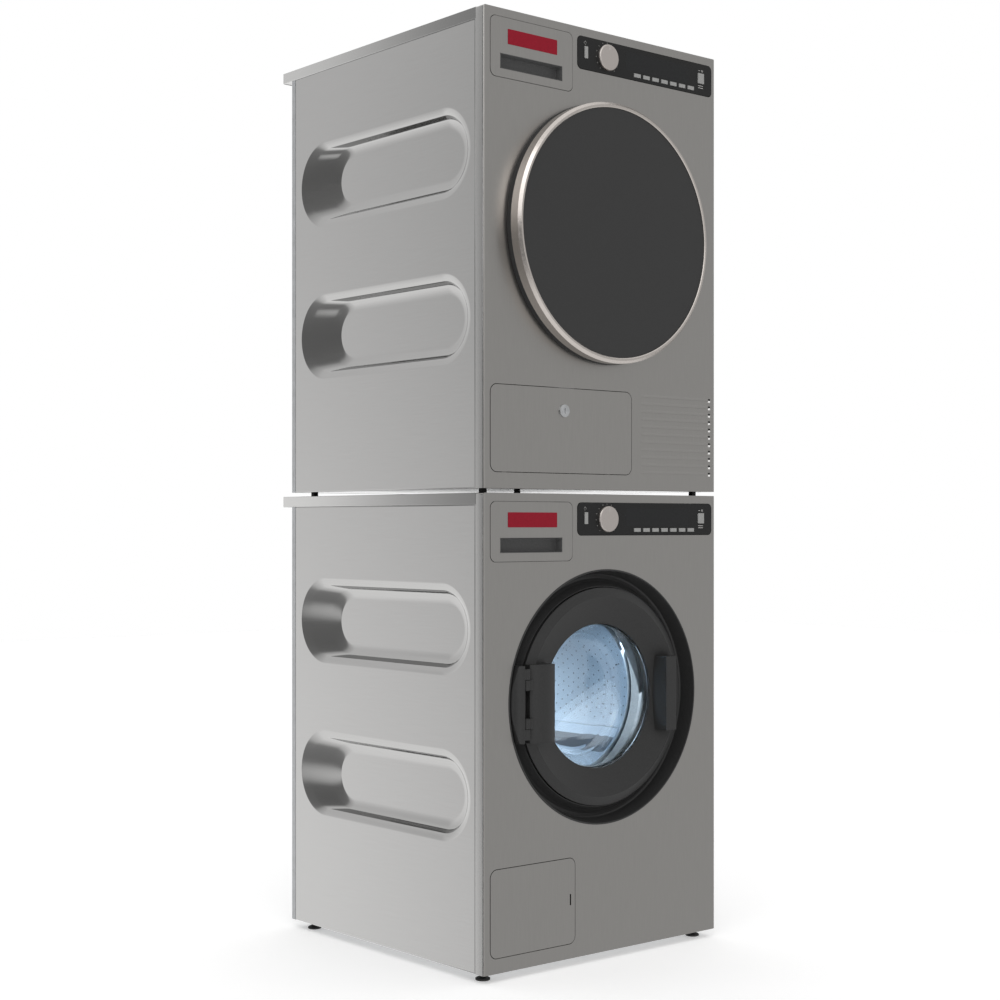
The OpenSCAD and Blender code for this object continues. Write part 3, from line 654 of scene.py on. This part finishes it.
def marks(name, bars, body=ROOT, depth=FACE):
    """Thin printed bars: (middle x, middle z, length, width, angle in degrees)."""
    bm = bmesh.new()
    for x, z, length, width, angle in bars:
        turn = math.radians(angle)
        along = Vector((math.cos(turn), 0, math.sin(turn))) * (length / 2)
        across = Vector((-math.sin(turn), 0, math.cos(turn))) * (width / 2)
        middle = Vector((x, depth - MARK_PROUD, z))
        corners = [middle + along * i + across * j for i, j in ((-1, -1), (1, -1), (1, 1), (-1, 1))]
        front = loop(bm, corners)
        back = loop(bm, [corner + Vector((0, MARK_THICK, 0)) for corner in corners])
        bm.faces.new(front)
        bridge(bm, front, back)
        bm.faces.new(back)
    return piece(name, bm, "key_grey", body, material=PRINT)


def ring_bars(x, z, r, count, start, end, length, width):
    """Bars set round an arc of radius r, from one angle to another."""
    bars = []
    for i in range(count):
        angle = start + (end - start) * i / (count - 1)
        turn = math.radians(angle)
        bars.append((x + r * math.cos(turn), z + r * math.sin(turn), length, width, angle))
    return bars


def scale_marks(up):
    """The ticks round the knob."""
    return ring_bars(KNOB_X, KNOB_Z + up, r=28.0, count=13, start=-50, end=230, length=1.8, width=0.6)


def power_sign(up):
    """An open ring with a bar in its gap."""
    ring = ring_bars(POWER_X, POWER_Z + up, r=2.6, count=14, start=-230, end=50, length=0.5, width=1.5)
    return ring + [(POWER_X, POWER_Z + 2.4 + up, 3.0, 0.5, 90)]


def start_sign(up):
    """A dash and two upright bars over the start key, and two lines under it."""
    return [(250.5, 831 + up, 4.0, 1.0, 0), (257.0, 831 + up, 1.0, 4.0, 0), (260.0, 831 + up, 1.0, 4.0, 0),
            (254.3, 801.5 + up, 13.0, 1.0, 0), (254.3, 797.5 + up, 13.0, 1.0, 0)]


for machine, up in MACHINES.items():
    selector = f"{machine}_selector"
    lathe(f"{machine}_knob_cap", KNOB_PROFILE, "knob_metal", selector, KNOB_X, KNOB_Z + up, segments=120,
          closed=False, replaced=[f"{machine}_knob"])
    lathe(f"{machine}_knob_seat", SEAT_PROFILE, "black_plastic", ROOT, KNOB_X, KNOB_Z + up, segments=120)
    marks(f"{machine}_knob_line", [(KNOB_X, KNOB_Z + up + 17.5, 7, 1.1, 90)], selector, KNOB_FACE)
    plate(f"{machine}_display", DISPLAY_X, DISPLAY_DEPTH, (DISPLAY_Z[0] + up, DISPLAY_Z[1] + up), 2.5,
          "fascia_black", edge=0.2, material=DISPLAY)
    marks(f"{machine}_fascia_marks", scale_marks(up) + power_sign(up) + start_sign(up))


# ---------- louvres ----------

VENT_X, VENT_Z0, VENT_PITCH, VENTS = (91.6, 283.7), 42.0, 14.5, 11
VENT_ROWS = [VENT_Z0 + row * VENT_PITCH + PITCH for row in range(VENTS)]
HOOD_COLUMNS, HOOD_END = 60, 7.0
END_X, END_DEPTH, END_HALF_H = (VENT_X[1] - 8.5, VENT_X[1] - 2.5), (-1.25, 0.2), 1.9
NOTCH_RISE, LIP_RISE = 1.4, -2.2


def vent_hoods():
    """Low hoods over the slits. They sink into the panel at both ends."""
    bm = bmesh.new()
    for z in VENT_ROWS:
        sections = []
        for column in range(HOOD_COLUMNS + 1):
            x = VENT_X[0] + (VENT_X[1] - VENT_X[0]) * (column / HOOD_COLUMNS)
            rise = min(1.0, min(x - VENT_X[0], VENT_X[1] - x) / HOOD_END)
            w = math.sqrt(max(0.0, 1 - (1 - rise) ** 2))
            profile = [(-0.02, 4.2), (-0.3 * w, 3.2), (-0.8 * w, 1.6), (-1.1 * w, 0.2), (-1.15 * w, -0.9),
                       (-0.9 * w, -1.3), (0.6, -1.1)]
            sections.append(loop(bm, [(x, d, z + h * (0.35 + 0.65 * w)) for d, h in profile]))
        bridge_all(bm, sections, closed=False)
    piece("dryer_vent_hoods", bm, "stainless_front")


def vent_ends():
    """Painted shadow and highlight at the open right end of each louvre: a dark plate painted as the shadow
    in the notch, over a bright plate painted as the highlight on the lip.
    """
    for name, rise, slot, material in (("notch_shadows", NOTCH_RISE, "black_plastic", NOTCH_SHADOW),
                                       ("lip_highlights", LIP_RISE, "zinc", LIP_HIGHLIGHT)):
        bm = bmesh.new()
        for row in VENT_ROWS:
            z = row + rise
            add_plate(bm, END_X, END_DEPTH, (z - END_HALF_H, z + END_HALF_H), 1.8, edge=0.4, steps=4)
        piece(f"dryer_vent_{name}", bm, slot, material=material)


vent_hoods()
vent_ends()


# ---------- plates and seal round the machines ----------

# The closed underside of each worktop where it reaches past the back panel.
for machine, up in MACHINES.items():
    plate(f"{machine}_worktop_underside", x=(-293.2, 293.2), d=(609, 639.2), z=(839.6 + up, 841 + up),
          r=0.4, slot="stainless_side", edge=0.3, material=WORKTOP_STEEL)

# A smooth base plate under the dryer, which is seen in the gap between the machines.
plate("dryer_base_plate", x=(-290, 290), d=(24, 592), z=(PITCH + 8.1, PITCH + 9.3), r=0.5,
      slot="stainless_side", edge=0.3)

# The seal between the dryer door's metal ring and the front panel, as (radius, depth).
SEAL_PROFILE = rounded([(234, -2.0), (234, -10.5), (241.3, -10.5), (241.3, -2.0)], 0.6)
lathe("dryer_door_seal", SEAL_PROFILE, "black_rubber", "dryer_door", z=DOOR_Z + PITCH)


# ---------- washer door glass and drum ----------

# The glass bowl as (radius, depth): its rim, its outer face to the middle, and its inner face back.
BOWL_PROFILE = rounded([(133.8, 25.6), (149.6, 25.6), (149.6, 28.6), (139.4, 28.6), (136.0, 36), (127, 62),
                        (119, 83), (109, 92), (90, 96.5), (50, 97.8), (0, 98), (0, 93.2), (50, 92.9),
                        (88, 91.6), (105, 87), (114, 79), (122, 59), (131, 33)], 3.0, closed=False)
lathe("washer_glass_bowl", BOWL_PROFILE, "door_glass", "washer_door", replaced=["washer_door_glass"])

DRUM_R = 238.2
HOLE_R, HOLE_CORNERS = 1.6, 8
HOLE_FROM, HOLE_PITCH, HOLE_ROWS, HOLES_ROUND = 118, 15.6, 22, 78
LIFTER_ANGLE, LIFTER_STEP, LIFTER_REACH = 90, 120, 11


def beside_lifter(turn):
    """Whether an angle round the drum is on a lifter or next to it."""
    past_lifter = (math.degrees(turn) - LIFTER_ANGLE) % LIFTER_STEP
    return min(past_lifter, LIFTER_STEP - past_lifter) < LIFTER_REACH


def perforations():
    """Dark discs painted on the inside of the washer's drum as the shade in its holes, in rows between its
    lifters.
    """
    bm = bmesh.new()
    corners = [k * 2 * math.pi / HOLE_CORNERS for k in range(HOLE_CORNERS)]
    for row in range(HOLE_ROWS):
        shift = 0.5 * (row % 2)
        for i in range(HOLES_ROUND):
            turn = 2 * math.pi * (i + shift) / HOLES_ROUND
            if beside_lifter(turn):
                continue
            out = Vector((math.cos(turn), 0, math.sin(turn)))
            along = Vector((-math.sin(turn), 0, math.cos(turn)))
            middle = Vector((0, HOLE_FROM + row * HOLE_PITCH, DOOR_Z)) + out * DRUM_R
            bm.faces.new(loop(bm, [middle + along * (HOLE_R * math.cos(corner)) +
                                   Vector((0, HOLE_R * math.sin(corner), 0)) for corner in corners]))
    piece("washer_drum_perforations", bm, "drum_steel", "washer_drum_set", material=PERFORATION_SHADE,
          weighted=False)


perforations()


# ---------- feet ----------

FOOT_X, FOOT_D = 268, (35, 567)

# Profiles as (radius, height): a screw foot's round pad with its stem, its hexagon nut, and a square block.
PAD_AND_STEM = [(12.7, -LIFT), (13.5, -LIFT + 0.8), (13.5, -LIFT + 3.2), (11.5, -LIFT + 4.6),
                (8.0, -LIFT + 5.0), (5.2, -LIFT + 5.2), (5.0, 9.4)]
NUT = [(6.6, -LIFT + 5.1), (7.0, -LIFT + 5.5), (7.0, -LIFT + 8.6), (6.6, -LIFT + 9.0)]
BLOCK = [(6.4, PITCH), (7.0, PITCH + 0.5), (7.0, PITCH + 9.4)]


def add_upright(bm, profile, x, d, segments=32, start=0.0):
    """Turns a profile of (radius, height) points about an upright axis."""
    turns = [start + 2 * math.pi * i / segments for i in range(segments)]
    rings = [loop(bm, [(x + r * math.cos(turn), d + r * math.sin(turn), z) for turn in turns])
             for r, z in profile]
    bridge_all(bm, rings)
    bm.faces.new(rings[0])
    bm.faces.new(rings[-1])


screw_feet, blocks = bmesh.new(), bmesh.new()
for x in (-FOOT_X, FOOT_X):
    for d in FOOT_D:
        add_upright(screw_feet, PAD_AND_STEM, x, d)
        add_upright(screw_feet, NUT, x, d, segments=6)
        add_upright(blocks, BLOCK, x, d, segments=4, start=math.pi / 4)
piece("washer_feet", screw_feet, "black_rubber", replaced=["feet"])
piece("dryer_feet", blocks, "black_rubber", replaced=["feet"])


# ---------- back ----------

SCREW_X, SCREW_Z = (-284, 284), (30, 240, 450, 660, 820)
SCREW_HEAD = [(0.0, 609.4), (1.6, 609.3), (3.2, 608.6), (3.6, 607.9), (0.0, 607.9)]

for machine, up in MACHINES.items():
    bm = bmesh.new()
    for x in SCREW_X:
        for z in SCREW_Z:
            add_lathe(bm, SCREW_HEAD, x, z + up, segments=20, closed=False)
    piece(f"{machine}_back_screws", bm, "zinc")


# ---------- floor ----------

FLOOR_REACH = 9
FLOOR_GLOW = 0.32

floor_corners = [(FLOOR_REACH * i, FLOOR_REACH * j, 0) for i, j in ((-1, -1), (1, -1), (1, 1), (-1, 1))]
floor_mesh = bpy.data.meshes.new("floor")
floor_mesh.from_pydata(floor_corners, [], [(0, 1, 2, 3)])
floor = bpy.data.objects.new("floor", floor_mesh)
bpy.context.scene.collection.objects.link(floor)
floor_material = finish_material("pale floor", (0.88, 0.88, 0.88), 0.85, scale=3, contrast=0.01,
                                 spread=0.02, bump=0.0)
floor_bsdf = floor_material.node_tree.nodes[SHADER]
floor_bsdf.inputs["Emission Color"].default_value = (1, 1, 1, 1)
floor_bsdf.inputs["Emission Strength"].default_value = FLOOR_GLOW
floor_mesh.materials.append(floor_material)
floor.visible_glossy = False


# ---------- room ----------

# The room's brightness round its left side and round its front right, as stops of (cosine of the angle from
# that direction, brightness).
LEFT_AZIMUTH = 182
LEFT_STOPS = [(0.0, 1.0), (0.52, 1.0), (0.60, 0.80), (0.645, 0.66), (0.68, 0.28), (0.80, 0.18),
              (1.0, 0.26)]
AHEAD = (0.643, -0.766, 0.0)
AHEAD_STOPS = [(0.0, 1.0), (0.45, 0.9), (0.85, 0.58), (1.0, 0.58)]

# Behind the machines the room gets darker from its floor to its ceiling.
LOW_RISE, HIGH_RISE, LOW_SHADE, HIGH_SHADE = -0.22, 0.27, 1.24, 0.86
BEHIND_FROM, BEHIND_TO = -0.1, 0.3

# Soft bright panels at the left of the room: (azimuth, rise and radius in degrees, brightness).
PANELS = [(199, -12, 9, 1.5), (152, 15, 6, 2.0), (146, -7, 3, 0.8)]
PANEL_CORE = 0.45


def towards(azimuth, rise=0):
    """The direction at an azimuth and a rise, both in degrees."""
    turn, lean = math.radians(azimuth), math.radians(rise)
    return (math.cos(turn) * math.cos(lean), math.sin(turn) * math.cos(lean), math.sin(lean))


def room_direction(tree):
    return tree.nodes.new("ShaderNodeTexCoord").outputs["Generated"]


def soft_zone(tree, direction, stops):
    """A brightness that depends on how near a direction in the room is to the one given."""
    dot = tree.nodes.new("ShaderNodeVectorMath")
    dot.operation = "DOT_PRODUCT"
    dot.inputs[1].default_value = Vector(direction).normalized()
    tree.links.new(room_direction(tree), dot.inputs[0])
    return ramp(tree, dot.outputs["Value"], [(place, grey(value)) for place, value in stops])


def room_colour(tree):
    """The colour of the room that the machines reflect."""
    left = soft_zone(tree, towards(LEFT_AZIMUTH), LEFT_STOPS)
    ahead = soft_zone(tree, AHEAD, AHEAD_STOPS)
    colour = blend(tree, left, ahead, 1.0, "MULTIPLY")
    direction = room_direction(tree)
    by_height = between(tree, axis_of(tree, direction, "Z"), LOW_RISE, HIGH_RISE, LOW_SHADE, HIGH_SHADE)
    behind = between(tree, axis_of(tree, direction, "Y"), BEHIND_FROM, BEHIND_TO, 0.0, 1.0)
    colour = blend(tree, colour, blend(tree, colour, by_height, 1.0, "MULTIPLY"), behind)
    for azimuth, rise, radius, value in PANELS:
        edge = math.cos(math.radians(radius))
        panel = soft_zone(tree, towards(azimuth, rise), [(edge, 0.0), (1 - (1 - edge) * PANEL_CORE, value)])
        colour = blend(tree, colour, panel, 1.0, "ADD")
    return colour


def make_world():
    """The room lights the machines and shows in them. The camera sees plain white behind them."""
    world = bpy.data.worlds.new("studio")
    world.use_nodes = True
    bpy.context.scene.world = world
    tree = world.node_tree
    tree.nodes.clear()
    output = tree.nodes.new("ShaderNodeOutputWorld")
    room = tree.nodes.new("ShaderNodeBackground")
    backdrop = tree.nodes.new("ShaderNodeBackground")
    backdrop.inputs["Color"].default_value = (1, 1, 1, 1)
    mix = tree.nodes.new("ShaderNodeMixShader")
    ray = tree.nodes.new("ShaderNodeLightPath")
    tree.links.new(room_colour(tree), room.inputs["Color"])
    tree.links.new(ray.outputs["Is Camera Ray"], mix.inputs["Fac"])
    tree.links.new(room.outputs["Background"], mix.inputs[1])
    tree.links.new(backdrop.outputs["Background"], mix.inputs[2])
    tree.links.new(mix.outputs["Shader"], output.inputs["Surface"])


make_world()


# ---------- lights and camera ----------

KEY_PLACE, KEY_TARGET, KEY_SIZE, KEY_POWER = (-2.6, -2.2, 3.4), (0, 0, 0.9), 3.2, 40
DRUM_LIGHT_SIZE, DRUM_LIGHT_COLOUR = 0.3, (0.82, 0.92, 1.0)
DRUM_LIGHTS = (("washer_drum_light", 0, 0.72), ("dryer_drum_light", PITCH, 0.8))
LAMP_OVER_DOOR, TARGET_OVER_DOOR = 60, -20

CAMERA_PLACE = (-2.2917, -2.7273, 0.8021 + LIFT * MM)
CAMERA_TURN = -40.0091
FOCAL_LENGTH, SENSOR_WIDTH, SHIFT_UP = 64.272, 36, 0.0254


def area_light(name, place, target, size, power):
    data = bpy.data.lights.new(name, "AREA")
    data.size = size
    data.energy = power
    made = bpy.data.objects.new(name, data)
    made.location = place
    made.rotation_euler = (Vector(target) - Vector(place)).to_track_quat("-Z", "Y").to_euler()
    made.visible_camera = False
    bpy.context.scene.collection.objects.link(made)
    return made


area_light("key light", KEY_PLACE, KEY_TARGET, KEY_SIZE, KEY_POWER)
for name, up, power in DRUM_LIGHTS:
    lamp_place = at(30, 114, DOOR_Z + LAMP_OVER_DOOR + up)
    lamp_target = at(70, 420, DOOR_Z + TARGET_OVER_DOOR + up)
    lamp = area_light(name, lamp_place, lamp_target, DRUM_LIGHT_SIZE, power)
    lamp.data.color = DRUM_LIGHT_COLOUR

lens = bpy.data.cameras.new("camera")
lens.lens = FOCAL_LENGTH
lens.sensor_width = SENSOR_WIDTH
lens.shift_y = SHIFT_UP
camera = bpy.data.objects.new("camera", lens)
camera.location = CAMERA_PLACE
camera.rotation_euler = (math.radians(90), 0, math.radians(CAMERA_TURN))
bpy.context.scene.collection.objects.link(camera)
bpy.context.scene.camera = camera
bpy.context.scene.view_settings.view_transform = "Standard"
